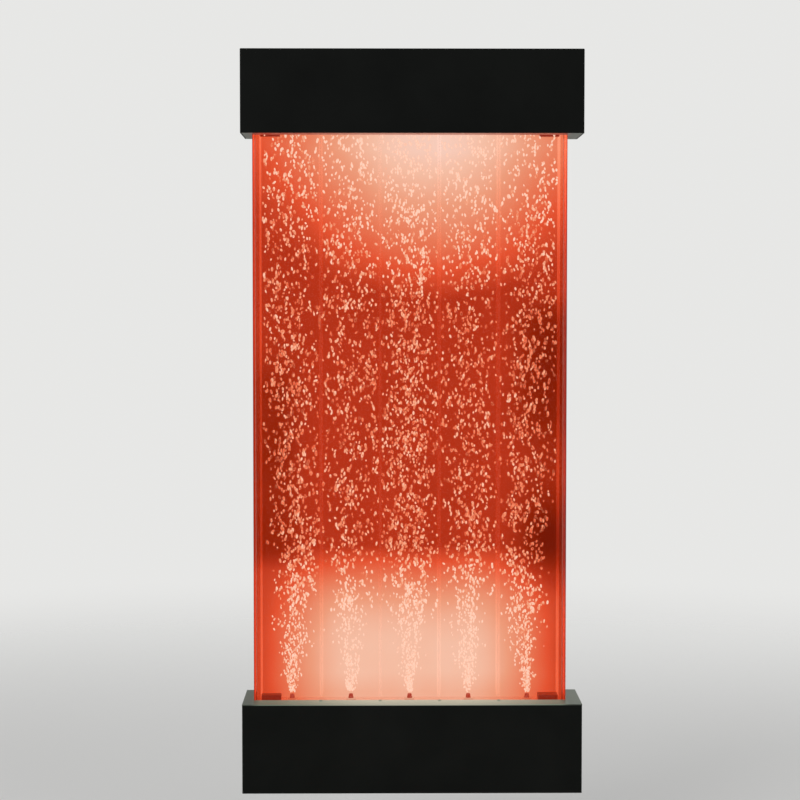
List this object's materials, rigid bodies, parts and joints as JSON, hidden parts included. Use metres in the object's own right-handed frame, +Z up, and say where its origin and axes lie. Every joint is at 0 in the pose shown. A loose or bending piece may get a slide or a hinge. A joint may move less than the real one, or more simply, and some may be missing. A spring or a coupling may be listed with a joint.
{
  "type": "bubble wall panel",
  "caption": "Wall-hung bubble panel: a clear acrylic tank of channels with air nozzles, lit from both ends, between two black housings on a hook-on wall rail.",
  "frame": {"origin": "on the wall, in the middle of the wall rail's four bolt holes", "axes": "+X to the right seen from the front, +Y into the wall, +Z up"},
  "size_m": [0.5, 0.105, 1.09],
  "materials": {
    "plated_steel": "zinc plated",
    "zinc_screw": "zinc plated",
    "dark_screw": "blackened",
    "black_frame": "matt black",
    "satin_black": "satin black",
    "opal_sheet": "opal",
    "brushed_plate": "brushed along its length",
    "clear_acrylic": "clear, polished",
    "dark_block": "matt",
    "light_aluminium": "satin",
    "light_board": "white",
    "nozzle_plastic": "satin",
    "seal_rubber": "matt",
    "valve_plastic": "satin",
    "hose_silicone": "clear",
    "manifold_plastic": "satin",
    "pump_grey": "satin",
    "core_iron": "lacquered",
    "coil_copper": "enamelled",
    "case_black": "satin",
    "circuit_board": "lacquered",
    "valve_brass": "satin",
    "magnet_nickel": "nickel",
    "lead_jacket": "satin",
    "rocker_black": "gloss",
    "ball_chrome": "polished",
    "lever_red": "dipped",
    "knob_black": "satin",
    "arm_steel": "plated"
  },
  "bodies": {
    "wall_bracket": {"wall_rail": "plated_steel"},
    "panel": {"hanging_rail": "plated_steel", "chassis_screws": "zinc_screw", "back_panel": "black_frame", "back_reflector": "opal_sheet", "upper_chassis": "black_frame", "upper_soffit": "brushed_plate", "tank_front_sheet": "clear_acrylic", "tank_back_sheet": "clear_acrylic", "tank_left_wall": "clear_acrylic", "tank_right_wall": "clear_acrylic", "tank_floor": "clear_acrylic", "channel_dividers": "clear_acrylic", "tank_lid": "clear_acrylic", "spacer_blocks": "dark_block", "drain_strainer": "dark_block", "filler_neck": "clear_acrylic", "upper_light_channel": "light_aluminium", "upper_light_board": "light_board", "upper_light_lens": "opal_sheet", "air_nozzles": "nozzle_plastic", "nozzle_seals": "seal_rubber", "nozzle_nuts": "nozzle_plastic", "check_valves": "valve_plastic", "channel_hoses": "hose_silicone", "air_manifold": "manifold_plastic", "lower_light_channel": "light_aluminium", "lower_light_board": "light_board", "lower_light_lens": "opal_sheet", "tank_cradle": "black_frame", "lower_chassis": "black_frame", "lower_deck": "brushed_plate", "deck_screws": "dark_screw", "pump_base": "pump_grey", "pump_cover": "pump_grey", "pump_core": "core_iron", "pump_coil": "coil_copper", "pump_valve_head": "valve_plastic", "pump_feet": "seal_rubber", "pump_hose": "hose_silicone", "pump_diaphragm": "seal_rubber", "controller_case": "case_black", "controller_board": "circuit_board", "power_entry": "case_black", "drain_valve_body": "valve_brass", "wall_buffers": "seal_rubber", "cover_magnets": "magnet_nickel", "wiring_harness": "lead_jacket"},
    "upper_hood": {"upper_cover": "satin_black"},
    "lower_hood": {"lower_cover": "satin_black"},
    "cap": {"filler_cap": "case_black"},
    "rocker": {"power_rocker": "rocker_black"},
    "drain_handle": {"drain_ball": "ball_chrome", "drain_lever": "lever_red"},
    "arm": {"pump_arm": "arm_steel"},
    "knob_1": {"flow_knob_1": "knob_black"},
    "knob_2": {"flow_knob_2": "knob_black"},
    "knob_3": {"flow_knob_3": "knob_black"},
    "knob_4": {"flow_knob_4": "knob_black"},
    "knob_5": {"flow_knob_5": "knob_black"}
  },
  "joints": [
    {"name": "panel_lift", "type": "slide", "parent": "wall_bracket", "child": "panel", "axis": [0, 0, 1], "range_m": [0, 0.012]},
    {"name": "upper_cover_lift", "type": "slide", "parent": "panel", "child": "upper_hood", "axis": [0, 0, 1], "range_m": [0, 0.125]},
    {"name": "lower_cover_pull", "type": "slide", "parent": "panel", "child": "lower_hood", "axis": [0, -1, 0], "range_m": [0, 0.11]},
    {"name": "filler_cap_pull", "type": "slide", "parent": "panel", "child": "cap", "axis": [0, 0, 1], "range_m": [0, 0.016]},
    {"name": "power_rocker_tilt", "type": "hinge", "parent": "panel", "child": "rocker", "pos_m": [-0.098, -0.064, -1.014], "axis": [1, 0, 0], "range_deg": [0, 16]},
    {"name": "drain_lever_turn", "type": "hinge", "parent": "panel", "child": "drain_handle", "pos_m": [0.204, -0.044, -0.964], "axis": [0, 1, 0], "range_deg": [0, 90]},
    {"name": "pump_arm_swing", "type": "hinge", "parent": "panel", "child": "arm", "pos_m": [-0.221, -0.06, -0.9997], "axis": [1, 0, 0], "range_deg": [-1.5, 1.5], "stiffness_Nm_per_rad": 3, "deforming": ["pump_diaphragm"]},
    {"name": "flow_knob_1_turn", "type": "hinge", "parent": "panel", "child": "knob_1", "pos_m": [-0.179, -0.092, -0.9757], "axis": [0, 1, 0], "range_deg": [-135, 135]},
    {"name": "flow_knob_2_turn", "type": "hinge", "parent": "panel", "child": "knob_2", "pos_m": [-0.091, -0.092, -0.9757], "axis": [0, 1, 0], "range_deg": [-135, 135]},
    {"name": "flow_knob_3_turn", "type": "hinge", "parent": "panel", "child": "knob_3", "pos_m": [-0.003, -0.092, -0.9757], "axis": [0, 1, 0], "range_deg": [-135, 135]},
    {"name": "flow_knob_4_turn", "type": "hinge", "parent": "panel", "child": "knob_4", "pos_m": [0.085, -0.092, -0.9757], "axis": [0, 1, 0], "range_deg": [-135, 135]},
    {"name": "flow_knob_5_turn", "type": "hinge", "parent": "panel", "child": "knob_5", "pos_m": [0.173, -0.092, -0.9757], "axis": [0, 1, 0], "range_deg": [-135, 135]}
  ]
}
